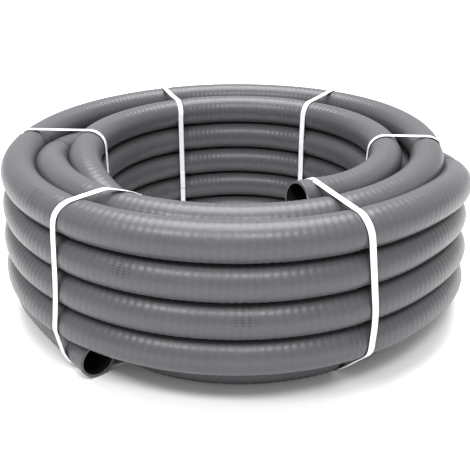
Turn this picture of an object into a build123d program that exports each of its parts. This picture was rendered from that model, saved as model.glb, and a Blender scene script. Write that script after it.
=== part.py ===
"""A 25 m roll of 50 mm spiral-reinforced PVC hose, wound in three layers and tied with six plastic straps."""

from build123d import *

import os
from collections import namedtuple
from math import cos, pi, radians, sin

# ---------------------------------------------------------------- hose
HOSE_DIAMETER = 50.0
HOSE_BORE = 43.0
HOSE_RADIUS = HOSE_DIAMETER / 2
HOSE_LENGTH = 25000.0

HELIX_PITCH = 9.5
HELIX_WIRE = 2.0
HELIX_RADIUS = (HOSE_DIAMETER + HOSE_BORE) / 4

# ---------------------------------------------------------------- straps
STRAP_WIDTH = 9.0
STRAP_THICKNESS = 0.8
STRAP_GAP = 0.2
WELD_LENGTH = 35.0

# ---------------------------------------------------------------- the wound roll
# The roll lies on the undersides of its straps, its axis along Z.
# Rows are counted from the floor, 1 to 5; radii are those of the hose's centre line.
ROLL_BASE = STRAP_THICKNESS + STRAP_GAP
ROWS = 5
INNER_LAYER = 235.0
MIDDLE_LAYER = 285.0
OUTER_LAYER = 335.0
MIDDLE_PUSHED_OUT = 292.5
MIDDLE_CROSSING = 306.0
WEB_HALF_WIDTH = 15.0


def row_height(row):
    """Height of the hose's centre line in a row; half rows are turns on their way down."""
    return ROLL_BASE + (row - 0.5) * HOSE_DIAMETER


# Which rows of each layer the hose fills, one stretch of azimuth after another.
# The middle layer's top turn is missing behind, and the outer layer's bottom turn in front.
# On the right the outer turn sinks half a row while the middle turn rolls outward over it.
Stretch = namedtuple("Stretch", "start end outer_low outer_top middle_top middle_top_radius inner_top")
INNER_END_AZIMUTH = 302.0
OUTER_END_AZIMUTH = 225.0
STRETCHES = [
    Stretch(20.0, 170.0, 1, 5, 4, MIDDLE_LAYER, 5),
    Stretch(170.0, OUTER_END_AZIMUTH, 1, 5, 5, MIDDLE_LAYER, 5),
    Stretch(OUTER_END_AZIMUTH, INNER_END_AZIMUTH, 2, 5, 5, MIDDLE_PUSHED_OUT, 4),
    Stretch(INNER_END_AZIMUTH, 340.0, 2, 5, 5, MIDDLE_PUSHED_OUT, 5),
    Stretch(340.0, 380.0, 2, 4.5, 5, MIDDLE_CROSSING, 5),
]

# ---------------------------------------------------------------- the two free ends
INNER_END_LENGTH = 60.0
OUTER_END_LENGTH = 70.0

# ---------------------------------------------------------------- where the six straps cross
STRAP_SLACK = 1.0
STRAP_AZIMUTHS = {
    "strap_right": 356.0,
    "strap_back_right": 56.0,
    "strap_back_left": 117.0,
    "strap_left": 177.0,
    "strap_front_left": 232.0,
    "strap_front_right": 296.0,
}


def radial_plane(azimuth):
    """Upright plane through the roll's axis: x runs outward, y runs up, and z runs clockwise."""
    outward = (cos(radians(azimuth)), sin(radians(azimuth)), 0)
    clockwise = (sin(radians(azimuth)), -cos(radians(azimuth)), 0)
    return Plane(origin=(0, 0, 0), x_dir=outward, z_dir=clockwise)


def column(radius, lowest, highest):
    """One layer's share of the roll's section: its turns as circles, joined by a web."""
    rows = range(int(lowest), int(highest) + 1)
    centres = [(radius, row_height(row)) for row in rows]
    if highest > rows[-1]:
        centres.append((radius, row_height(highest)))
    with Locations(*centres):
        Circle(HOSE_RADIUS)
    bottom = row_height(lowest)
    top = row_height(highest)
    with Locations((radius, (bottom + top) / 2)):
        Rectangle(2 * WEB_HALF_WIDTH, top - bottom)


def bridge(inner_radius, outer_radius, lowest, highest):
    """Fill between two layers over the rows that both have."""
    bottom = row_height(lowest) - WEB_HALF_WIDTH
    top = row_height(highest) + WEB_HALF_WIDTH
    with Locations(((inner_radius + outer_radius) / 2, (bottom + top) / 2)):
        Rectangle(outer_radius - inner_radius, top - bottom)


def roll_section(stretch):
    """The roll's section along one stretch."""
    column(INNER_LAYER, 1, stretch.inner_top)
    column(MIDDLE_LAYER, 1, min(stretch.middle_top, ROWS - 1))
    column(OUTER_LAYER, stretch.outer_low, stretch.outer_top)
    bridge(INNER_LAYER, MIDDLE_LAYER, 1, min(stretch.inner_top, stretch.middle_top))
    bridge(MIDDLE_LAYER, OUTER_LAYER, stretch.outer_low, min(stretch.middle_top, stretch.outer_top))
    if stretch.middle_top == ROWS:
        with Locations((stretch.middle_top_radius, row_height(ROWS))):
            Circle(HOSE_RADIUS)
        with Locations((stretch.middle_top_radius, row_height(ROWS - 0.5))):
            Rectangle(2 * WEB_HALF_WIDTH, HOSE_DIAMETER)


# ---------------------------------------------------------------- the wound hose, as one closed shape
with BuildPart() as hose_roll:
    for stretch in STRETCHES:
        with BuildSketch(radial_plane(stretch.start)):
            roll_section(stretch)
        revolve(axis=Axis.Z, revolution_arc=stretch.end - stretch.start)
hose_roll.part.label = "hose_roll"


# ---------------------------------------------------------------- the hose's free ends
def end_plane(azimuth, radius, row, direction):
    """Plane across the hose where a free end leaves the roll; its normal runs along the free end."""
    centre = (radius * cos(radians(azimuth)), radius * sin(radians(azimuth)), row_height(row))
    along = (-direction * sin(radians(azimuth)), direction * cos(radians(azimuth)), 0)
    return Plane(origin=centre, x_dir=(0, 0, 1), z_dir=along)


def free_end(plane, length):
    """The last stretch of hose: a straight tube with the bore open at its mouth."""
    with BuildPart() as tube:
        with BuildSketch(plane):
            Circle(HOSE_RADIUS)
            Circle(HOSE_BORE / 2, mode=Mode.SUBTRACT)
        extrude(amount=length)
    return tube


def end_helix(plane, length):
    """The rigid spiral inside the wall of a free end."""
    height = length - 2 * HELIX_WIRE
    foot = plane.offset(HELIX_WIRE).origin
    with BuildPart() as spiral:
        with BuildLine() as path:
            Helix(HELIX_PITCH, height, HELIX_RADIUS, center=foot, direction=plane.z_dir)
        with BuildSketch(Plane(origin=path.line @ 0, z_dir=path.line % 0)):
            Circle(HELIX_WIRE / 2)
        sweep(path=path.line, is_frenet=True)
    return spiral


INNER_END_PLANE = end_plane(INNER_END_AZIMUTH, INNER_LAYER, ROWS, -1)
OUTER_END_PLANE = end_plane(OUTER_END_AZIMUTH, OUTER_LAYER, 1, 1)

helix_end_inner = end_helix(INNER_END_PLANE, INNER_END_LENGTH)
helix_end_inner.part.label = "helix_end_inner"

helix_end_outer = end_helix(OUTER_END_PLANE, OUTER_END_LENGTH)
helix_end_outer.part.label = "helix_end_outer"

with BuildPart() as hose_end_inner:
    add(free_end(INNER_END_PLANE, INNER_END_LENGTH))
    add(helix_end_inner, mode=Mode.SUBTRACT)
hose_end_inner.part.label = "hose_end_inner"

with BuildPart() as hose_end_outer:
    add(free_end(OUTER_END_PLANE, OUTER_END_LENGTH))
    add(helix_end_outer, mode=Mode.SUBTRACT)
hose_end_outer.part.label = "hose_end_outer"


# ---------------------------------------------------------------- the straps
def strap_corners(azimuth):
    """Centres of the turns that a strap pulls against at one azimuth."""
    turned = azimuth if azimuth >= STRETCHES[0].start else azimuth + 360
    stretch = next(s for s in STRETCHES if s.start <= turned <= s.end)
    corners = [
        (INNER_LAYER, row_height(1)),
        (INNER_LAYER, row_height(stretch.inner_top)),
        (MIDDLE_LAYER, row_height(1)),
        (OUTER_LAYER, row_height(stretch.outer_low)),
        (OUTER_LAYER, row_height(stretch.outer_top)),
    ]
    if stretch.middle_top == ROWS:
        corners.append((stretch.middle_top_radius, row_height(ROWS)))
    return corners


def under_strap(layer, leaving_azimuth, row, strap_azimuth, slack):
    """Centre of the straight free end where a strap crosses it, moved outward by the slack."""
    radius = layer / cos(radians(strap_azimuth - leaving_azimuth))
    return (radius + slack, row_height(row))


def strap_hull(corners, clearance):
    """The outline of a taut loop round the turns."""
    with Locations(*corners):
        Circle(HOSE_RADIUS + clearance)
    make_hull()


def strap(azimuth, corners):
    """A closed band round the roll's section, its weld lap on the side that faces the eye."""
    plane = radial_plane(azimuth)
    eye_side = INNER_LAYER - HOSE_RADIUS - STRAP_GAP - STRAP_THICKNESS
    with BuildPart() as band:
        with BuildSketch(plane) as outside:
            strap_hull(corners, STRAP_GAP + STRAP_THICKNESS)
        extrude(amount=STRAP_WIDTH / 2, both=True)
        with BuildSketch(plane) as inside:
            strap_hull(corners, STRAP_GAP)
        extrude(amount=STRAP_WIDTH / 2, both=True, mode=Mode.SUBTRACT)
        with BuildSketch(plane) as lap:
            with Locations((eye_side, row_height(2.5))):
                Rectangle(2 * STRAP_THICKNESS, WELD_LENGTH)
        extrude(amount=STRAP_WIDTH / 2, both=True)
    return band


straps = {}
for name, azimuth in STRAP_AZIMUTHS.items():
    corners = strap_corners(azimuth)
    if name == "strap_front_left":
        corners.append(under_strap(OUTER_LAYER, OUTER_END_AZIMUTH, 1, azimuth, STRAP_SLACK))
    if name == "strap_front_right":
        corners.append(under_strap(INNER_LAYER, INNER_END_AZIMUTH, ROWS, azimuth, -STRAP_SLACK))
    straps[name] = strap(azimuth, corners)
    straps[name].part.label = name

# ---------------------------------------------------------------- the hose's length, as wound
# Turns of each layer, counted along the winding: inner from the top down, middle up, outer down.
LAYER_TURNS = {INNER_LAYER: 4.85, MIDDLE_LAYER: 4.6, OUTER_LAYER: 4.6}
wound_length = sum(2 * pi * radius * turns for radius, turns in LAYER_TURNS.items())
print(f"hose as wound: {wound_length:.0f} mm, nominal {HOSE_LENGTH:.0f} mm")
print(f"bend radii: {INNER_LAYER:.0f}, {MIDDLE_LAYER:.0f} and {OUTER_LAYER:.0f} mm; both free ends are straight")

tube_section = pi * (HOSE_DIAMETER**2 - HOSE_BORE**2) / 4
for end, spiral, length in (
    (hose_end_inner, helix_end_inner, INNER_END_LENGTH),
    (hose_end_outer, helix_end_outer, OUTER_END_LENGTH),
):
    volume = end.part.volume + spiral.part.volume
    print(f"{end.part.label}: {volume:.0f} mm3, section times length {tube_section * length:.0f} mm3")

# ---------------------------------------------------------------- files
os.makedirs("parts", exist_ok=True)
pieces = [hose_roll, hose_end_inner, hose_end_outer, helix_end_inner, helix_end_outer, *straps.values()]
for piece in pieces:
    export_step(piece.part, f"parts/{piece.part.label}.step")
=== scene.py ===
"""A tied roll of grey spiral hose on a pale studio floor, laid out as an add-on and run as a script."""

from math import ceil, cos, pi, radians, sin

import bmesh
import bpy
import numpy as np
from bpy.props import FloatProperty, FloatVectorProperty, IntProperty
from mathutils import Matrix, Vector


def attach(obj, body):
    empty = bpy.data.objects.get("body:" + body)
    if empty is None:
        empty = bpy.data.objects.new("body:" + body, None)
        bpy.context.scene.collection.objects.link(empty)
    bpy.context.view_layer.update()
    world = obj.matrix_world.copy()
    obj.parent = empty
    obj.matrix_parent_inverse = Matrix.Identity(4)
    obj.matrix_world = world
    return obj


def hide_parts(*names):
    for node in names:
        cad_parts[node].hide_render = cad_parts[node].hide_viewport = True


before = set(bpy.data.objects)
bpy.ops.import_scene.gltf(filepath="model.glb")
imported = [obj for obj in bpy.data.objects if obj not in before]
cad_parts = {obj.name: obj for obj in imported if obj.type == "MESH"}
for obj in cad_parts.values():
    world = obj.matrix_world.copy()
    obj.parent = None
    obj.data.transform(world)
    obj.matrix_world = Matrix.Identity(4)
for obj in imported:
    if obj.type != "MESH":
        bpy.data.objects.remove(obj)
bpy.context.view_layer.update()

bl_info = {
    "name": "Tied hose roll",
    "version": (1, 0, 0),
    "blender": (4, 5, 0),
    "location": "View3D > Sidebar > Hose roll",
    "description": "Winds a ribbed hose into a roll, ties it with straps and sets it on a studio floor",
    "category": "Object",
}

MM = 0.001
BODY = "root"

# ---------------------------------------------------------------- the winding
# Angles run counter-clockwise seen from above, in degrees, from the hose's first end to its last:
# 0 is the roll's right, 90 its back, 180 its left and 270 its front.
# Radii and rows are in hose diameters; row 1 lies on the floor and row 5 is the top.
TURN = 360.0
INNER_LAYER, MIDDLE_LAYER, OUTER_LAYER = 4.7, 5.7, 6.7
TOP_ROW = 5
FIRST_BEND, LAST_BEND = -58.0, 4886.0
INNER_TO_MIDDLE = 4 * TURN + 150.0
MIDDLE_TO_OUTER = 8 * TURN + 325.0
# How far each layer has stepped to its next row, by angle within the turn.
TOP_INNER_STEP = [(185, 0.0), (205, 0.15), (218, 0.40), (232, 0.75), (250, 1.0)]
INNER_STEP = [(150, 0.0), (177, 0.1), (190, 0.3), (205, 0.5), (225, 0.56), (250, 1.0)]
MIDDLE_STEP = [(135, 0.0), (166, 0.5), (177, 0.7), (190, 0.85), (200, 1.0)]
OUTER_STEP = [(325, 0.0), (345, 0.42), (357, 0.72), (370, 0.9), (385, 1.0)]
# The turn in which each layer takes its first step; the hose's first turn has a step of its own.
FIRST_INNER_STEP, FIRST_MIDDLE_STEP, FIRST_OUTER_STEP = 1, 5, 9
STEPS_PER_LAYER = TOP_ROW - 1
# The top middle turn swings outward between the layers and rolls over the sinking outer turn:
# its radius, by angle after the start of the turn TOP_TURN.
TOP_TURN = 8 * TURN
TOP_SWING = [
    (TOP_TURN + angle, radius)
    for angle, radius in (
        (150, 5.70), (185, 5.75), (250, 5.79), (288, 5.76), (325, 5.78), (338, 5.84),
        (357, 5.95), (375, 6.20), (390, 6.44), (410, 6.64), (430, 6.70),
    )
]
# How far the outer turn bulges while it sinks, by angle after the start of the turn SINKING_TURN.
SINKING_TURN = 9 * TURN
SINKING_BULGE = [
    (SINKING_TURN + angle, bulge)
    for angle, bulge in ((300, 0.0), (328, 0.06), (345, 0.03), (357, 0.04), (370, 0.02), (385, 0.0))
]
# How far the roll stands in or out of round, in hose diameters: by row on the right and on the left,
# the top outer turn drawn in behind on the left, the inner layer's top turn standing out on the left,
# and the bottom turns tucked under beside the last end.
RIGHT_FULLNESS = [(1, -0.05), (3, -0.09), (4, -0.17), (5, -0.10)]
LEFT_FULLNESS = [(1, -0.12), (2, 0.08), (3, 0.08), (5, -0.05)]
TOP_DRAWN_IN = [(100, 0.0), (130, -0.10), (172, -0.10), (192, 0.0)]
INNER_TOP_LEFT = [(140, 0.0), (165, 0.08), (188, 0.10), (212, 0.10), (235, 0.0)]
BOTTOM_TUCK = [(190, 0.0), (220, -0.34), (250, 0.0)]
# The tuck fades out upward: none from this row on, and how fast it grows below.
TUCK_TOP_ROW, TUCK_GROWTH = 2.0, 1.6
# The unevenness of winding by hand: depth in hose diameters, waves per turn, and starting angle.
UNEVENNESS = [(0.012, 1.7, 0.0), (0.010, 3.1, 40.0)]
POINTS_PER_TURN = 24
# Where the two free ends lie, in metres and in the hose's order: each has its mouth, and points on the
# straight run beside it.
FIRST_END = [(0.0742, -0.2310, 0.2330), (0.0985, -0.2160, 0.2300)]
LAST_END = [(-0.2720, -0.1678, 0.0260), (-0.2272, -0.2216, 0.0260), (-0.1825, -0.2755, 0.0260)]
FIRST_END_LENGTH, LAST_END_LENGTH = 0.060, 0.070

# ---------------------------------------------------------------- the hose's wall
# One rib, ring by ring: how high each ring stands, from 1 on the crest to -1 in the valley,
# and where it lies along the pitch.
RINGS_PER_PITCH = 4
RIB_SHAPE = np.array([1.0, 0.25, -1.0, 0.25])
RIB_PLACE = np.array([0.0, 0.27, 0.5, 0.73])
# The ribs even out at the cut ends to this share of a rib's height below the crests.
EVEN_SHARE = 0.4
# The distance from ring to ring of the bore.
BORE_STEP = 0.02
# How far ahead and behind the hose's direction is measured.
LOOK = 0.004
# Faces flatter than this are dropped; points this near to an end lie on its cut; points on a cut that
# are closer together than this become one.
FLAT_FACE, SAME_PLACE, MERGE_GAP = 1e-7, 1e-9, 1e-5
# The bore's mouth is joined to edges within this many hose diameters of its middle.
MOUTH_REACH = 0.6
# The third slot holds the bore, coloured near black as painted shade.
WALL_SLOT, EDGE_SLOT, BORE_SHADE_SLOT = 0, 1, 2
LAY_MAP = "lay"

# The rigid spiral's wire: the faces round it, its points per turn, and how far it stops short of the cut.
WIRE_SIDES = 8
WIRE_POINTS_PER_TURN = 20
WIRE_INSET = 0.0002

# ---------------------------------------------------------------- the straps' runs
# Each strap's azimuths: on the eye side, over the top as (radius, azimuth) pairs, and down the outside
# as (height, azimuth) pairs, with radii and heights in hose diameters.
STRAP_RUNS = {
    "strap_right": (356.0, [(5.0, 356.0)], [(0.0, 356.0)]),
    "strap_back_right": (55.1, [(4.7, 55.1), (6.7, 56.6)], [(0.0, 56.6)]),
    "strap_back_left": (119.6, [(4.7, 118.3), (6.7, 115.4)], [(0.0, 115.4)]),
    "strap_left": (177.0, [(5.0, 177.0)], [(0.0, 177.0)]),
    "strap_front_left": (
        249.0,
        [(4.4, 249.0), (4.86, 245.5), (5.5, 240.6), (6.2, 236.3), (6.9, 233.0)],
        [(0.4, 228.2), (1.2, 229.3), (1.64, 229.9), (2.6, 231.0), (4.45, 231.7), (4.9, 232.4)],
    ),
    "strap_front_right": (
        294.4,
        [(4.7, 294.0), (6.7, 294.4)],
        [(0.8, 296.6), (2.3, 297.5), (4.0, 295.8), (4.8, 295.0)],
    ),
}
# The slack strap arches over this point: radius and height in hose diameters.
SLACK_STRAP, SLACK_ARCH = "strap_front_left", (6.05, 4.64)
# How deep a strap presses into the hose, and how far along the hose that reaches.
PINCH_DEPTH, PINCH_REACH = 1.2 * MM, 11 * MM
# No strap presses in where the spiral wire shows; beyond that the pinch grows over the second length.
SPIRAL_SHOWN, PINCH_EASE = 75 * MM, 50 * MM
# How far apart a strap's points lie, and how many degrees it bends from point to point round a turn.
STRAP_STEP, TURN_STEP = 0.003, 2.0
# A strap lies on the outside or the eye side where its normal leans further than this, and its azimuths
# are evened out over this many points.
SIDE_LEAN, EVEN_POINTS = 0.7, 15
# The band's section: its rounded edge as a share of the thickness, the shallow grooves on top,
# how many points the top has, and how far the edge's corners are cut.
EDGE_SHARE, GROOVE, TOP_POINTS, CORNER_CUT = 0.35, 0.07 * MM, 9, 0.3
# The welded lap: its height in hose diameters, how squarely it faces the eye, how far it stands off
# the band, and how much its two tips rise over the last share of its length, in thicknesses.
WELD_HEIGHT, WELD_LEAN = 2, 0.9
LAP_LIFT, TIP_RISE, TIP_START = 0.92, 0.9, 0.8
TAPE_MAP = "tape"

# The wound hose's line, kept for the pieces that follow it.
LINES = {}


def ramp(angle, points):
    """Value at an angle of a list of (angle, value) points."""
    return float(np.interp(angle, [p[0] for p in points], [p[1] for p in points]))


def steps_taken(angle, first_turn, step):
    """How many rows a layer has moved by this angle."""
    return sum(ramp(angle - TURN * (first_turn + k), step) for k in range(STEPS_PER_LAYER))


def lay(angle):
    """Radius and height, in hose diameters, of the hose's centre line at an angle of the winding."""
    if angle < INNER_TO_MIDDLE:
        radius = INNER_LAYER + ramp(angle, INNER_TOP_LEFT)
        row = TOP_ROW - ramp(angle, TOP_INNER_STEP) - steps_taken(angle, FIRST_INNER_STEP, INNER_STEP)
    elif angle < MIDDLE_TO_OUTER:
        # The last inner turn rolls out to the middle layer on a quarter circle.
        moved = ramp(angle - 4 * TURN, INNER_STEP)
        radius = min(INNER_LAYER + (1 - (1 - moved) ** 2) ** 0.5, MIDDLE_LAYER)
        if angle > TOP_SWING[0][0]:
            radius = ramp(angle, TOP_SWING)
        row = 1 + steps_taken(angle, FIRST_MIDDLE_STEP, MIDDLE_STEP)
    else:
        radius = ramp(angle, TOP_SWING) + ramp(angle, SINKING_BULGE)
        row = TOP_ROW - steps_taken(angle, FIRST_OUTER_STEP, OUTER_STEP)
    return radius + out_of_round(angle % TURN, radius, row), row - 0.5


def out_of_round(azimuth, radius, row):
    """How far, in hose diameters, a turn stands out of the round at an azimuth."""
    right = max(cos(radians(azimuth)), 0.0) ** 2
    left = max(-cos(radians(azimuth)), 0.0) ** 2
    fullness = left * ramp(row, LEFT_FULLNESS) + right * ramp(row, RIGHT_FULLNESS)
    if row > TOP_ROW - 0.5 and radius > 0.5 * (MIDDLE_LAYER + OUTER_LAYER):
        fullness += ramp(azimuth, TOP_DRAWN_IN)
    if radius < OUTER_LAYER:
        share = min(max(TUCK_TOP_ROW - row, 0.0) * TUCK_GROWTH, 1.0)
        fullness += ramp(azimuth, BOTTOM_TUCK) * share
    return fullness


# ---------------------------------------------------------------- settings
def metres(name, description, default):
    """A setting in metres."""
    return FloatProperty(name=name, description=description, default=default, unit="LENGTH")


def lamp_level(name, description, default):
    """A setting for a light's strength."""
    return FloatProperty(name=name, description=description, default=default, min=0)


def paint(name, description, default):
    """A colour setting."""
    return FloatVectorProperty(name=name, description=description, subtype="COLOR", size=3, default=default)


class HoseSettings(bpy.types.PropertyGroup):
    """Sizes and colours of the hose."""

    diameter: metres("Diameter", "Outside diameter of the hose", 50 * MM)
    bore: metres("Bore", "Inside diameter of the hose", 43 * MM)
    length: metres("Length", "Nominal length of hose in the roll", 25.0)
    base: metres("Base", "Height of the lowest turns above the floor", 1 * MM)
    pitch: metres("Rib pitch", "Distance from rib to rib", 9.5 * MM)
    rib: metres("Rib height", "Height of a rib over the valley", 0.40 * MM)
    wire: metres("Spiral wire", "Thickness of the rigid spiral", 2 * MM)
    sides: IntProperty(name="Sides", description="Faces round the hose", default=28, min=12)
    colour: paint("Colour", "Colour of the soft wall", (0.058, 0.058, 0.064))
    # Painted shade: the bore is coloured near black, far darker than the wall's own grey.
    bore_shade: paint("Bore shade", "Colour inside the bore", (0.004, 0.004, 0.004))


class StrapSettings(bpy.types.PropertyGroup):
    """Sizes and colour of the tying straps."""

    width: metres("Width", "Width of a strap", 9 * MM)
    thickness: metres("Thickness", "Thickness of a strap", 0.8 * MM)
    gap: metres("Gap", "Room between strap and hose", 0.2 * MM)
    weld: metres("Weld length", "Length of the welded lap", 35 * MM)
    colour: paint("Colour", "Colour of the straps", (0.74, 0.75, 0.77))


class StudioSettings(bpy.types.PropertyGroup):
    """Floor and light."""

    floor: paint("Floor", "Colour of the floor", (0.80, 0.80, 0.80))
    sky: lamp_level("Sky", "Strength of the even light from all round", 0.92)
    key: lamp_level("Front lamps", "Power of the two soft lamps in front, in watts", 42.0)
    top: lamp_level("Top lamp", "Power of the soft lamp high above, in watts", 340.0)


# ---------------------------------------------------------------- materials
# How near another surface has to be for the painted shade to darken the wall, in metres.
CREASE_SHADE_REACH = 0.035
# The printed ticks: how often a block comes, in rib pitches, and how much of that it fills.
TICK_REPEAT, TICK_BLOCK = 118.0, 0.02
# Round the hose, as shares of a turn: the block's middle and half its height.
TICK_MIDDLE, TICK_HALF = 0.10, 0.085
# Within a block: columns per pitch and rows per turn, each with half the share that is printed.
TICK_COLUMNS, COLUMN_HALF = 1.3, 0.26
TICK_ROWS, ROW_HALF = 46.0, 0.2
TICK_STRENGTH = 0.7
# The strap's embossed lattice, in millimetres from line to line.
LATTICE = 0.9


def new_material(name):
    """A new material that has only an output and a principled shader, and that shader."""
    material = bpy.data.materials.new(name)
    material.use_nodes = True
    nodes = material.node_tree.nodes
    nodes.clear()
    output = nodes.new("ShaderNodeOutputMaterial")
    shader = nodes.new("ShaderNodeBsdfPrincipled")
    material.node_tree.links.new(shader.outputs["BSDF"], output.inputs["Surface"])
    return material, shader


def node(material, kind, inputs=None, **values):
    """A new node with its values set and its inputs either linked or set."""
    made = material.node_tree.nodes.new(kind)
    for name, value in values.items():
        setattr(made, name, value)
    for name, value in (inputs or {}).items():
        if isinstance(value, bpy.types.NodeSocket):
            material.node_tree.links.new(value, made.inputs[name])
        else:
            made.inputs[name].default_value = value
    return made


def calc(material, operation, a, b=0.0):
    """The result of one operation on two sockets or numbers."""
    return node(material, "ShaderNodeMath", {0: a, 1: b}, operation=operation).outputs[0]


def noise(material, vector, scale, detail=3.0, roughness=0.55):
    """A noise pattern's height."""
    inputs = {"Vector": vector, "Scale": scale, "Detail": detail, "Roughness": roughness}
    return node(material, "ShaderNodeTexNoise", inputs).outputs["Fac"]


def spread(material, value, low, high, from_low=0.0, from_high=1.0):
    """A value's range mapped to another."""
    inputs = {"Value": value, "From Min": from_low, "From Max": from_high, "To Min": low, "To Max": high}
    return node(material, "ShaderNodeMapRange", inputs).outputs["Result"]


def tint(material, factor, first, second):
    """A blend of two colours, each a plain colour or a socket."""
    mix = node(material, "ShaderNodeMix", data_type="RGBA")
    sockets = [s for s in mix.inputs if s.enabled]
    for socket, value in zip(sockets, (factor, first, second)):
        if isinstance(value, bpy.types.NodeSocket):
            material.node_tree.links.new(value, socket)
        elif hasattr(value, "__len__"):
            socket.default_value = (*value[:3], 1.0)
        else:
            socket.default_value = value
    return next(s for s in mix.outputs if s.enabled)


def shade(colour, amount):
    """A colour made darker or lighter."""
    return [min(c * amount, 1.0) for c in colour]


def bumped(material, shader, height, strength, distance):
    """Gives a shader a bump from a height."""
    inputs = {"Height": height, "Strength": strength, "Distance": distance}
    bump = node(material, "ShaderNodeBump", inputs)
    material.node_tree.links.new(bump.outputs["Normal"], shader.inputs["Normal"])


def link(material, socket, shader, name):
    """Leads a socket into one of the shader's inputs."""
    material.node_tree.links.new(socket, shader.inputs[name])


def within(material, value, middle, half_width):
    """1 where a value lies within half a width of a middle, and 0 elsewhere."""
    inputs = {0: value, 1: middle, 2: half_width}
    return node(material, "ShaderNodeMath", inputs, operation="COMPARE").outputs[0]


def stripes(material, value, often, half_width):
    """Even stripes across a value."""
    repeat = calc(material, "FRACT", calc(material, "MULTIPLY", value, often))
    return within(material, repeat, 0.5, half_width)


def print_ticks(material, pitches, around):
    """Plain dark ticks in a small block, printed across the hose once every metre or so."""
    repeat = calc(material, "FRACT", calc(material, "DIVIDE", pitches, TICK_REPEAT))
    along_block = within(material, repeat, 0.5, TICK_BLOCK / 2)
    block = calc(material, "MULTIPLY", along_block, within(material, around, TICK_MIDDLE, TICK_HALF))
    columns = stripes(material, pitches, TICK_COLUMNS, COLUMN_HALF)
    rows = stripes(material, around, TICK_ROWS, ROW_HALF)
    ticks = calc(material, "MULTIPLY", block, calc(material, "MULTIPLY", columns, rows))
    return calc(material, "MULTIPLY", ticks, TICK_STRENGTH)


def hose_wall_material(hose):
    """Soft grey plastic, paler on the ribs' crests and darker in their valleys as painted highlight and
    painted shade, clouded, scuffed, streaked and printed.

    Deep in the creases it is darker, which is painted shade, and rougher.
    """
    material, shader = new_material("soft_grey_wall")
    place = node(material, "ShaderNodeTexCoord").outputs["Object"]
    along = node(material, "ShaderNodeUVMap", uv_map=LAY_MAP).outputs["UV"]
    parts = node(material, "ShaderNodeSeparateXYZ", {"Vector": along})
    pitches, around = parts.outputs["X"], parts.outputs["Y"]

    phase = calc(material, "FRACT", calc(material, "SUBTRACT", pitches, around))
    crest = calc(material, "ABSOLUTE", calc(material, "SUBTRACT", phase, 0.5))
    crest = spread(material, crest, 0.0, 1.0, 0.12, 0.42)
    cloud = noise(material, place, 9.0, 4.0)
    scuff = noise(material, place, 160.0, 5.0, 0.65)
    slow = calc(material, "MULTIPLY", pitches, 0.05)
    drawn = node(material, "ShaderNodeCombineXYZ", {"X": slow, "Y": around})
    streak = noise(material, drawn.outputs["Vector"], 38.0, 2.0)

    # Paler crests and darker valleys: painted highlight and painted shade of the ribs' relief.
    base = tint(material, crest, shade(hose.colour, 0.96), shade(hose.colour, 1.04))
    # Each mark: its pattern, where in the pattern it starts and is full, its strength and its shade.
    marks = [(cloud, 0.35, 0.7, 0.35, 1.22), (scuff, 0.52, 0.75, 0.30, 1.5), (streak, 0.55, 0.8, 0.25, 0.7)]
    for pattern, start, full, strength, amount in marks:
        mark = spread(material, pattern, 0.0, strength, start, full)
        base = tint(material, mark, base, shade(hose.colour, amount))
    base = tint(material, print_ticks(material, pitches, around), base, shade(hose.colour, 0.3))
    # Painted shade: the wall's colour darkens deep in the creases; 1 in the open and 0 deep in a crease.
    crease_shade_ao = node(material, "ShaderNodeAmbientOcclusion", {"Distance": CREASE_SHADE_REACH}, samples=8)
    open_sky = crease_shade_ao.outputs["AO"]
    base = tint(material, spread(material, open_sky, 0.9, 0.0, 0.10, 0.62), base, shade(hose.colour, 0.06))
    link(material, base, shader, "Base Color")

    rough = spread(material, scuff, 0.30, 0.42, 0.3, 0.7)
    rough = calc(material, "ADD", rough, spread(material, cloud, -0.04, 0.05))
    rough = calc(material, "ADD", rough, spread(material, open_sky, 0.5, 0.0, 0.2, 0.6))
    link(material, rough, shader, "Roughness")
    shader.inputs["Specular IOR Level"].default_value = 0.36
    grain = calc(material, "ADD", scuff, calc(material, "MULTIPLY", streak, 0.7))
    bumped(material, shader, grain, 0.22, 0.25 * MM)
    return material


def cut_edge_material(hose):
    """The sawn face of the wall, paler and rougher than the outside."""
    material, shader = new_material("sawn_wall_edge")
    place = node(material, "ShaderNodeTexCoord").outputs["Object"]
    saw = noise(material, place, 900.0, 3.0)
    colour = tint(material, saw, shade(hose.colour, 1.1), shade(hose.colour, 1.7))
    link(material, colour, shader, "Base Color")
    link(material, spread(material, saw, 0.5, 0.7), shader, "Roughness")
    bumped(material, shader, saw, 0.4, 0.3 * MM)
    return material


def bore_shade_material(hose):
    """The bore's dull wall, coloured near black as painted shade."""
    material, shader = new_material("painted_shade_bore")
    place = node(material, "ShaderNodeTexCoord").outputs["Object"]
    film = noise(material, place, 60.0, 4.0)
    link(material, tint(material, film, hose.bore_shade, shade(hose.bore_shade, 1.8)), shader, "Base Color")
    link(material, spread(material, film, 0.6, 0.8), shader, "Roughness")
    shader.inputs["Specular IOR Level"].default_value = 0.08
    bumped(material, shader, film, 0.15, 0.3 * MM)
    return material


def wire_material():
    """The rigid spiral: hard pale plastic."""
    material, shader = new_material("rigid_spiral_plastic")
    place = node(material, "ShaderNodeTexCoord").outputs["Object"]
    mottle = noise(material, place, 400.0, 3.0)
    link(material, tint(material, mottle, (0.34, 0.34, 0.35), (0.46, 0.46, 0.47)), shader, "Base Color")
    link(material, spread(material, mottle, 0.28, 0.42), shader, "Roughness")
    return material


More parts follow.
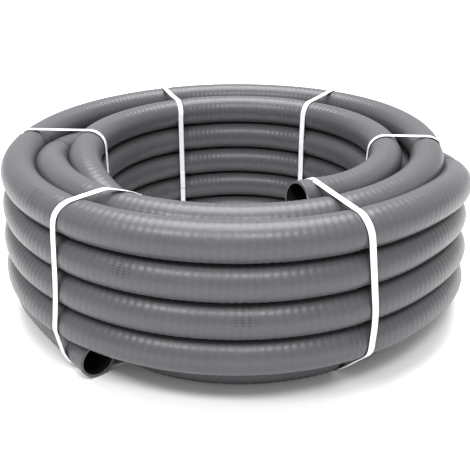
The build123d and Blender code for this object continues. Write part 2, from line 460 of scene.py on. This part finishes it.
def strap_material(strap):
    """White strapping with a fine embossed lattice, a little soiled in patches."""
    material, shader = new_material("white_strapping")
    place = node(material, "ShaderNodeTexCoord").outputs["Object"]
    tape = node(material, "ShaderNodeUVMap", uv_map=TAPE_MAP).outputs["UV"]
    parts = node(material, "ShaderNodeSeparateXYZ", {"Vector": tape})
    run, across = parts.outputs["X"], parts.outputs["Y"]

    one_way, other_way = (
        calc(material, "SINE", calc(material, "MULTIPLY", calc(material, way, run, across), 2 * pi / LATTICE))
        for way in ("ADD", "SUBTRACT")
    )
    lattice = calc(material, "MULTIPLY", one_way, other_way)
    dirt = noise(material, place, 70.0, 4.0)
    base = tint(material, spread(material, dirt, 0.0, 0.5, 0.5, 0.8), strap.colour, shade(strap.colour, 0.9))
    base = tint(material, spread(material, lattice, 0.0, 0.12, -1.0, 1.0), base, shade(strap.colour, 0.86))
    link(material, base, shader, "Base Color")
    link(material, spread(material, dirt, 0.32, 0.5), shader, "Roughness")
    shader.inputs["Subsurface Weight"].default_value = 0.15
    shader.inputs["Subsurface Radius"].default_value = (0.002, 0.002, 0.002)
    bumped(material, shader, lattice, 0.5, 0.12 * MM)
    return material


def floor_material(studio):
    """Pale matt paper."""
    material, shader = new_material("pale_floor")
    place = node(material, "ShaderNodeTexCoord").outputs["Object"]
    fleck = noise(material, place, 3.0, 2.0)
    link(material, tint(material, fleck, studio.floor, shade(studio.floor, 0.985)), shader, "Base Color")
    shader.inputs["Roughness"].default_value = 0.9
    shader.inputs["Specular IOR Level"].default_value = 0.1
    return material


# ---------------------------------------------------------------- meshes
def new_mesh(name, points, faces, material, uvs=None, uv_name=None):
    """A smooth-shaded mesh object from points and faces, with a material and, if asked, a map."""
    mesh = bpy.data.meshes.new(name)
    mesh.from_pydata([tuple(p) for p in points], [], [tuple(f) for f in faces])
    mesh.materials.append(material)
    if uvs is not None:
        layer = mesh.uv_layers.new(name=uv_name)
        layer.data.foreach_set("uv", np.asarray(uvs, np.float32).ravel())
    mesh.shade_smooth()
    mesh.update()
    obj = bpy.data.objects.new(name, mesh)
    bpy.context.scene.collection.objects.link(obj)
    return obj


# ---------------------------------------------------------------- the hose's line
def winding_points(hose):
    """Control points of the wound hose, from the mouth on top to the mouth on the floor."""
    half_step = TURN / POINTS_PER_TURN / 2
    first, last = FIRST_BEND + half_step, LAST_BEND - half_step
    count = ceil((last - first) / TURN * POINTS_PER_TURN)
    points = []
    for angle in np.linspace(first, last, count + 1):
        radius, height = lay(angle)
        uneven = sum(depth * sin(radians(waves * angle + start)) for depth, waves, start in UNEVENNESS)
        reach = (radius + uneven) * hose.diameter / cos(radians(half_step))
        x, y = reach * cos(radians(angle)), reach * sin(radians(angle))
        points.append((x, y, height * hose.diameter + hose.base))
    return FIRST_END + points + LAST_END


def spline_line(name, points):
    """Points along the smooth spline that these control points give, as an array."""
    curve = bpy.data.curves.new(name, "CURVE")
    curve.dimensions = "3D"
    curve.resolution_u = 12
    spline = curve.splines.new("NURBS")
    spline.points.add(len(points) - 1)
    for slot, point in zip(spline.points, points):
        slot.co = (*point, 1.0)
    spline.order_u = 3
    spline.use_endpoint_u = True
    obj = bpy.data.objects.new(name, curve)
    bpy.context.scene.collection.objects.link(obj)
    bpy.context.view_layer.update()
    mesh = bpy.data.meshes.new_from_object(obj.evaluated_get(bpy.context.evaluated_depsgraph_get()))
    line = np.array([v.co for v in mesh.vertices])
    bpy.data.objects.remove(obj)
    bpy.data.curves.remove(curve)
    bpy.data.meshes.remove(mesh)
    return line


class HoseLine:
    """The hose's centre line, measured along its length."""

    def __init__(self, line):
        self.line = line
        runs = np.linalg.norm(np.diff(line, axis=0), axis=1)
        self.at = np.concatenate([[0.0], np.cumsum(runs)])
        self.length = self.at[-1]
        self.angle = np.degrees(np.unwrap(np.arctan2(line[:, 1], line[:, 0])))

    def place(self, distance):
        """Points of the centre line at these distances."""
        return np.stack([np.interp(distance, self.at, self.line[:, k]) for k in range(3)], -1)

    def frame(self, distance):
        """Points, directions along the hose, and outward and upward directions across it."""
        point = self.place(distance)
        along = self.place(distance + LOOK) - self.place(distance - LOOK)
        along /= np.linalg.norm(along, axis=-1, keepdims=True)
        out = np.cross(along, (0.0, 0.0, 1.0))
        out /= np.linalg.norm(out, axis=-1, keepdims=True)
        return point, along, out, np.cross(out, along)

    def crossings(self, azimuth):
        """(radius, height) of every turn that crosses one upright half-plane through the roll's axis."""
        found = []
        first = ceil((self.angle[0] - azimuth) / TURN)
        last = int((self.angle[-1] - azimuth) // TURN)
        for turn in range(first, last + 1):
            x, y, z = (np.interp(azimuth + TURN * turn, self.angle, self.line[:, k]) for k in range(3))
            found.append((float(np.hypot(x, y)), float(z)))
        return found


def surface(line, distance, around, radius):
    """Points at these distances along the hose, angles round it (0 outward, a quarter turn up) and radii."""
    point, along, out, up = line.frame(distance)
    return point + radius[..., None] * (np.cos(around)[..., None] * out + np.sin(around)[..., None] * up)


def pinched(line, distance, diameter):
    """How far the straps press the wall in at each distance along the hose."""
    point = line.place(distance)
    angle = np.interp(distance, line.at, line.angle)
    reach = np.hypot(point[..., 0], point[..., 1])
    depth = np.zeros(distance.shape)
    for _, _, outside in STRAP_RUNS.values():
        azimuth = np.interp(point[..., 2] / diameter, *zip(*outside))
        gap = np.radians((angle - azimuth + TURN / 2) % TURN - TURN / 2) * reach
        depth += PINCH_DEPTH * np.exp(-((gap / PINCH_REACH) ** 2))
    end_gap = np.minimum(distance, line.length - distance)
    return depth * np.clip((end_gap - SPIRAL_SHOWN) / PINCH_EASE, 0.0, 1.0)


def outside_wall(line, hose):
    """The ribbed outside: its rings follow the spiral, so that every rib has its own crest and valley."""
    sides, pitch = hose.sides, hose.pitch
    rings = (int(line.length / pitch) + 3) * RINGS_PER_PITCH
    ring = np.arange(rings)
    part = ring % RINGS_PER_PITCH
    place = ring // RINGS_PER_PITCH - 1 + RIB_PLACE[part]
    turn_share = np.arange(sides) / sides
    pitches = place[:, None] + turn_share[None, :]
    distance = np.clip(pitches * pitch, 0.0, line.length)
    crest = hose.diameter / 2 - hose.rib / 2 + hose.rib / 2 * RIB_SHAPE[part][:, None]
    even = hose.diameter / 2 - hose.rib * EVEN_SHARE
    end_gap = np.minimum(distance, line.length - distance)
    radius = even + (crest - even) * np.clip(end_gap / pitch, 0.0, 1.0)
    radius = radius - pinched(line, distance, hose.diameter)
    around = np.broadcast_to(2 * pi * turn_share, distance.shape)
    return surface(line, distance, around, radius), distance


def wall_faces(rings, sides, shift):
    """Each corner's ring and side for the quads of a tube whose rings climb by shift rings in one turn.

    The last array has the sides before they wrap round, for the map.
    """
    i, j = np.meshgrid(np.arange(rings - 1), np.arange(sides), indexing="ij")
    steps = [(0, 0), (1, 0), (1, 1), (0, 1)]
    corners = np.stack([np.stack([i + a, j + b], -1) for a, b in steps], 2).reshape(-1, 4, 2)
    ring, side = corners[..., 0], corners[..., 1]
    wrapped = side == sides
    ring_used = np.where(wrapped, ring + shift, ring)
    keep = (ring_used < rings).all(axis=1)
    return ring_used[keep], np.where(wrapped, 0, side)[keep], side[keep]


def make_hose(hose):
    """The whole hose as one hollow wall with sawn ends."""
    line = HoseLine(spline_line("hose_line", winding_points(hose)))
    points, distance = outside_wall(line, hose)
    rings, sides = distance.shape
    ring_used, side_used, side_plain = wall_faces(rings, sides, RINGS_PER_PITCH)
    index = ring_used * sides + side_used
    corner_distance = distance[ring_used, side_used]
    # A quad whose corners have all been cut back to one end is dropped.
    live = (corner_distance.max(axis=1) - corner_distance.min(axis=1)) > FLAT_FACE
    index, side_plain = index[live], side_plain[live]
    corner_distance = corner_distance[live]
    uv = np.stack([corner_distance / hose.pitch, side_plain / sides], -1)

    bm = bmesh.new()
    verts = [bm.verts.new(p) for p in points.reshape(-1, 3)]
    layer = bm.loops.layers.uv.new(LAY_MAP)
    for corners, places in zip(index, uv):
        face = bm.faces.new([verts[k] for k in corners])
        face.smooth = True
        face.material_index = WALL_SLOT
        for loop, place in zip(face.loops, places):
            loop[layer].uv = place
    flat = distance.ravel()
    for end in (0.0, line.length):
        cut = [verts[k] for k in np.nonzero(np.abs(flat - end) < SAME_PLACE)[0]]
        bmesh.ops.remove_doubles(bm, verts=[v for v in cut if v.link_faces], dist=MERGE_GAP)
    loose = [v for v in bm.verts if v.is_valid and not v.link_faces]
    bmesh.ops.delete(bm, geom=loose, context="VERTS")

    add_bore(bm, line, hose)
    bmesh.ops.recalc_face_normals(bm, faces=bm.faces)
    mesh = bpy.data.meshes.new("hose")
    bm.to_mesh(mesh)
    bm.free()
    for material in (hose_wall_material(hose), cut_edge_material(hose), bore_shade_material(hose)):
        mesh.materials.append(material)
    obj = bpy.data.objects.new("hose", mesh)
    bpy.context.scene.collection.objects.link(obj)
    return obj, line


def add_bore(bm, line, hose):
    """The smooth bore through the whole hose, joined to the outside by a sawn ring at each end."""
    sides = hose.sides
    count = int(line.length / BORE_STEP)
    stations = np.linspace(0.0, line.length, count + 1)
    around = 2 * pi * np.arange(sides) / sides
    grid_distance, grid_around = np.meshgrid(stations, around, indexing="ij")
    radius = np.full(grid_distance.shape, hose.bore / 2)
    points = surface(line, grid_distance, grid_around, radius)
    verts = [[bm.verts.new(p) for p in ring] for ring in points]
    for i in range(count):
        for j in range(sides):
            k = (j + 1) % sides
            face = bm.faces.new((verts[i][j], verts[i][k], verts[i + 1][k], verts[i + 1][j]))
            face.smooth = True
            face.material_index = BORE_SHADE_SLOT
    open_edges = [e for e in bm.edges if len(e.link_faces) == 1]
    for ring in (verts[0], verts[-1]):
        middle = sum((v.co for v in ring), Vector()) / len(ring)
        reach = hose.diameter * MOUTH_REACH
        near = [e for e in open_edges if (e.verts[0].co - middle).length < reach]
        made = bmesh.ops.bridge_loops(bm, edges=near)
        for face in made["faces"]:
            face.smooth = False
            face.material_index = EDGE_SLOT


class HOSEROLL_OT_hose(bpy.types.Operator):
    """Wind the hose, open at both ends"""

    bl_idname = "hoseroll.hose"
    bl_label = "Wind the hose"

    def execute(self, context):
        hose = context.scene.hoseroll_hose
        obj, line = make_hose(hose)
        LINES["hose"] = line
        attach(obj, BODY)
        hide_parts("hose_roll", "hose_end_inner", "hose_end_outer")
        return {"FINISHED"}


def wound_line():
    """The wound hose's line, for the pieces that follow it."""
    if "hose" not in LINES:
        raise RuntimeError("Wind the hose first")
    return LINES["hose"]


# ---------------------------------------------------------------- the rigid spiral in the free ends
def make_end_wire(name, line, hose, start, end, material):
    """The spiral wire that shows in the sawn face of a free end."""
    count = int(abs(end - start) / hose.pitch * WIRE_POINTS_PER_TURN)
    distance = np.linspace(start, end, count)
    around = 2 * pi * distance / hose.pitch
    middle = (hose.diameter + hose.bore) / 4
    centre = surface(line, distance, around, np.full(count, middle))
    along = np.gradient(centre, axis=0)
    along /= np.linalg.norm(along, axis=1, keepdims=True)
    out = centre - line.place(distance)
    out -= (out * along).sum(axis=1, keepdims=True) * along
    out /= np.linalg.norm(out, axis=1, keepdims=True)
    side = np.cross(along, out)
    turn = 2 * pi * np.arange(WIRE_SIDES) / WIRE_SIDES
    rings = centre[:, None] + hose.wire / 2 * (
        np.cos(turn)[None, :, None] * out[:, None] + np.sin(turn)[None, :, None] * side[:, None]
    )
    faces = []
    for i in range(count - 1):
        here, following = i * WIRE_SIDES, (i + 1) * WIRE_SIDES
        for j in range(WIRE_SIDES):
            k = (j + 1) % WIRE_SIDES
            faces.append((here + j, here + k, following + k, following + j))
    faces.append(tuple(range(WIRE_SIDES))[::-1])
    faces.append(tuple((count - 1) * WIRE_SIDES + k for k in range(WIRE_SIDES)))
    return new_mesh(name, rings.reshape(-1, 3), faces, material)


class HOSEROLL_OT_spiral(bpy.types.Operator):
    """Lay the rigid spiral in the wall of both free ends"""

    bl_idname = "hoseroll.spiral"
    bl_label = "Lay the rigid spiral"

    def execute(self, context):
        hose = context.scene.hoseroll_hose
        line = wound_line()
        material = wire_material()
        ends = {
            "spiral_first_end": ("helix_end_inner", WIRE_INSET, FIRST_END_LENGTH),
            "spiral_last_end": ("helix_end_outer", line.length - LAST_END_LENGTH, line.length - WIRE_INSET),
        }
        for name, (cad_node, start, end) in ends.items():
            wire = make_end_wire(name, line, hose, start, end, material)
            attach(wire, BODY)
            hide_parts(cad_node)
        return {"FINISHED"}


# ---------------------------------------------------------------- the straps
def taut_loop(centres, clearance):
    """Points, as (radius, height), and outward normals of a band pulled tight round circles."""
    centres = np.array(centres)
    angles = np.radians(np.arange(0, TURN, TURN_STEP))
    normals = np.stack([np.cos(angles), np.sin(angles)], -1)
    best = centres[np.argmax(normals @ centres.T, axis=1)]
    corners = best + clearance * normals
    runs = np.linalg.norm(np.roll(corners, -1, axis=0) - corners, axis=1)
    at = np.concatenate([[0.0], np.cumsum(runs)])
    closed = np.vstack([corners, corners[:1]])
    closed_normals = np.vstack([normals, normals[:1]])
    count = int(at[-1] / STRAP_STEP)
    where = np.linspace(0.0, at[-1], count, endpoint=False)
    points = np.stack([np.interp(where, at, closed[:, k]) for k in range(2)], -1)
    normal = np.stack([np.interp(where, at, closed_normals[:, k]) for k in range(2)], -1)
    normal /= np.linalg.norm(normal, axis=1, keepdims=True)
    return points, normal


def strap_azimuths(points, normal, run, diameter):
    """The strap's azimuth at each point of its loop."""
    eye, over, outside = run
    inner_edge, outer_edge = points[:, 0].min(), points[:, 0].max()
    share = np.clip((points[:, 0] - inner_edge) / (outer_edge - inner_edge), 0.0, 1.0)
    down_outside = np.interp(points[:, 1] / diameter, *zip(*outside))
    over_top = np.interp(points[:, 0] / diameter, *zip(*over))
    underneath = eye + (outside[0][1] - eye) * share
    values = np.where(normal[:, 1] > 0, over_top, underneath)
    values = np.where(normal[:, 0] > SIDE_LEAN, down_outside, values)
    values = np.where(normal[:, 0] < -SIDE_LEAN, eye, values)
    beyond = EVEN_POINTS // 2
    padded = np.concatenate([values[-beyond:], values, values[:beyond]])
    return np.convolve(padded, np.ones(EVEN_POINTS) / EVEN_POINTS, mode="valid")


def strap_section(strap):
    """Points (across, above) round a flat band with rounded edges and shallow grooves."""
    half, thick = strap.width / 2, strap.thickness
    edge = thick * EDGE_SHARE
    across = np.linspace(-half + edge, half - edge, TOP_POINTS)
    top = [(x, thick - (GROOVE if k % 2 else 0.0)) for k, x in enumerate(across)]
    bottom = [(x, 0.0) for x in (across[-1], across[TOP_POINTS // 2], across[0])]
    corner = CORNER_CUT * edge
    right = [(half - corner, thick - corner), (half, thick / 2), (half - corner, corner)]
    left = [(-x, y) for x, y in right[::-1]]
    return np.array(top + right + bottom + left)


def sweep_band(name, path, normal, across, section, material, closed):
    """A band of this section along a path, with its own map in millimetres."""
    rings = path[:, None] + section[None, :, :1] * across[:, None] + section[None, :, 1:] * normal[:, None]
    count, size = len(path), len(section)
    runs = np.linalg.norm(np.diff(path, axis=0, append=path[:1]), axis=1)
    at = np.concatenate([[0.0], np.cumsum(runs)]) / MM
    around = np.concatenate([section[:, 0], section[:1, 0]]) / MM
    faces, uvs = [], []
    for i in range(count if closed else count - 1):
        following = (i + 1) % count
        for j in range(size):
            k = (j + 1) % size
            faces.append((i * size + j, i * size + k, following * size + k, following * size + j))
            uvs += [(at[i], around[j]), (at[i], around[j + 1])]
            uvs += [(at[i + 1], around[j + 1]), (at[i + 1], around[j])]
    if not closed:
        faces.append(tuple(range(size))[::-1])
        faces.append(tuple((count - 1) * size + k for k in range(size)))
        uvs += [(at[0], a) for a in around[:size][::-1]] + [(at[count - 1], a) for a in around[:size]]
    return new_mesh(name, rings.reshape(-1, 3), faces, material, uvs=uvs, uv_name=TAPE_MAP)


def upright(points, azimuth):
    """(radius, height) pairs turned to their azimuths."""
    turn = np.radians(azimuth)
    return np.stack([points[:, 0] * np.cos(turn), points[:, 0] * np.sin(turn), points[:, 1]], -1)


def make_strap(name, run, centres, hose, strap, material):
    """One strap pulled tight round the roll, with its welded lap on the eye side."""
    points, normal = taut_loop(centres, hose.diameter / 2 + strap.gap)
    azimuth = strap_azimuths(points, normal, run, hose.diameter)
    path = upright(points, azimuth)
    along = np.roll(path, -1, axis=0) - np.roll(path, 1, axis=0)
    along /= np.linalg.norm(along, axis=1, keepdims=True)
    across = np.cross(along, upright(normal, azimuth))
    across /= np.linalg.norm(across, axis=1, keepdims=True)
    face_out = np.cross(across, along)
    section = strap_section(strap)
    band = sweep_band(name, path, face_out, across, section, material, closed=True)

    weld_height = hose.base + WELD_HEIGHT * hose.diameter
    near_weld = np.abs(points[:, 1] - weld_height) < strap.weld / 2
    picked = np.nonzero((normal[:, 0] < -WELD_LEAN) & near_weld)[0]
    share = np.linspace(-1.0, 1.0, len(picked))
    lift = strap.thickness * (LAP_LIFT + TIP_RISE * np.clip(np.abs(share) - TIP_START, 0, 1))[:, None]
    outward = face_out[picked]
    lap = sweep_band(
        name + "_lap", path[picked] + outward * lift, outward, across[picked], section, material, closed=False
    )
    lap.parent = band
    return band, lap


class HOSEROLL_OT_straps(bpy.types.Operator):
    """Tie the roll with its six straps"""

    bl_idname = "hoseroll.straps"
    bl_label = "Tie the straps"

    def execute(self, context):
        hose, strap = context.scene.hoseroll_hose, context.scene.hoseroll_strap
        line = wound_line()
        material = strap_material(strap)
        for name, run in STRAP_RUNS.items():
            _, _, outside = run
            centres = line.crossings(np.mean([azimuth for _, azimuth in outside]))
            if name == SLACK_STRAP:
                centres.append(tuple(c * hose.diameter for c in SLACK_ARCH))
            band, lap = make_strap(name.replace("strap", "tie"), run, centres, hose, strap, material)
            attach(band, BODY)
            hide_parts(name)
        return {"FINISHED"}


# ---------------------------------------------------------------- floor, light and camera
CAMERA_PLACE = (-0.0038, -1.0315, 0.5696)
CAMERA_TILT = 70.133
CAMERA_LENS = 52.50
CAMERA_SHIFT = -0.149
CAMERA_SENSOR = 36.0
FLOOR_HALF = 6.0
# Each lamp's place, width and depth; all face one point in the middle of the roll.
FRONT_LAMPS = {
    "front_left_lamp": ((-0.85, -1.2, 1.75), 0.6, 0.35),
    "front_right_lamp": ((0.25, -1.35, 1.75), 0.6, 0.35),
}
TOP_LAMP = ((0.0, 1.1, 4.0), 3.6, 3.0)
LAMP_TARGET = (0.0, 0.0, 0.12)


def aimed_lamp(name, place, width, depth, watts):
    """A soft rectangular lamp that faces the roll."""
    light = bpy.data.lights.new(name, "AREA")
    light.shape = "RECTANGLE"
    light.size, light.size_y = width, depth
    light.energy = watts
    obj = bpy.data.objects.new(name, light)
    obj.location = place
    obj.rotation_euler = (Vector(LAMP_TARGET) - Vector(place)).to_track_quat("-Z", "Y").to_euler()
    bpy.context.scene.collection.objects.link(obj)
    return obj


class HOSEROLL_OT_studio(bpy.types.Operator):
    """Set up the floor, the light and the camera"""

    bl_idname = "hoseroll.studio"
    bl_label = "Set up the studio"

    def execute(self, context):
        scene = context.scene
        studio = scene.hoseroll_studio
        half = FLOOR_HALF
        corners = [(-half, -half, 0), (half, -half, 0), (half, half, 0), (-half, half, 0)]
        floor = new_mesh("floor", corners, [(0, 1, 2, 3)], floor_material(studio))

        world = bpy.data.worlds.new("even_light")
        world.use_nodes = True
        sky = world.node_tree.nodes["Background"]
        sky.inputs["Color"].default_value = (1.0, 1.0, 1.0, 1.0)
        sky.inputs["Strength"].default_value = studio.sky
        scene.world = world

        for name, (place, width, depth) in FRONT_LAMPS.items():
            aimed_lamp(name, place, width, depth, studio.key / len(FRONT_LAMPS))
        aimed_lamp("top_lamp", *TOP_LAMP, studio.top)

        camera_data = bpy.data.cameras.new("camera")
        camera_data.lens = CAMERA_LENS
        camera_data.sensor_width = CAMERA_SENSOR
        camera_data.shift_y = CAMERA_SHIFT
        camera = bpy.data.objects.new("camera", camera_data)
        camera.location = CAMERA_PLACE
        camera.rotation_euler = (radians(CAMERA_TILT), 0.0, 0.0)
        scene.collection.objects.link(camera)
        scene.camera = camera
        scene.view_settings.view_transform = "Standard"
        return {"FINISHED"}


# ---------------------------------------------------------------- panel and registration
class HOSEROLL_PT_panel(bpy.types.Panel):
    """Shows a button for each step of building the roll, and every setting"""

    bl_idname = "HOSEROLL_PT_panel"
    bl_label = "Hose roll"
    bl_space_type = "VIEW_3D"
    bl_region_type = "UI"
    bl_category = "Hose roll"

    def draw(self, context):
        layout = self.layout
        for kind in OPERATORS:
            layout.operator(kind.bl_idname)
        for group in SETTINGS:
            settings = getattr(context.scene, group)
            for name in settings.bl_rna.properties.keys():
                if name not in ("rna_type", "name"):
                    layout.prop(settings, name)


SETTINGS = {"hoseroll_hose": HoseSettings, "hoseroll_strap": StrapSettings, "hoseroll_studio": StudioSettings}
OPERATORS = (HOSEROLL_OT_studio, HOSEROLL_OT_hose, HOSEROLL_OT_spiral, HOSEROLL_OT_straps)
CLASSES = (*SETTINGS.values(), *OPERATORS, HOSEROLL_PT_panel)


def register():
    for kind in CLASSES:
        bpy.utils.register_class(kind)
    for name, kind in SETTINGS.items():
        setattr(bpy.types.Scene, name, bpy.props.PointerProperty(type=kind))


def unregister():
    for name in SETTINGS:
        delattr(bpy.types.Scene, name)
    for kind in reversed(CLASSES):
        bpy.utils.unregister_class(kind)


def main():
    """Build everything in order."""
    register()
    bpy.ops.hoseroll.studio()
    bpy.ops.hoseroll.hose()
    bpy.ops.hoseroll.spiral()
    bpy.ops.hoseroll.straps()


if __name__ == "__main__":
    main()
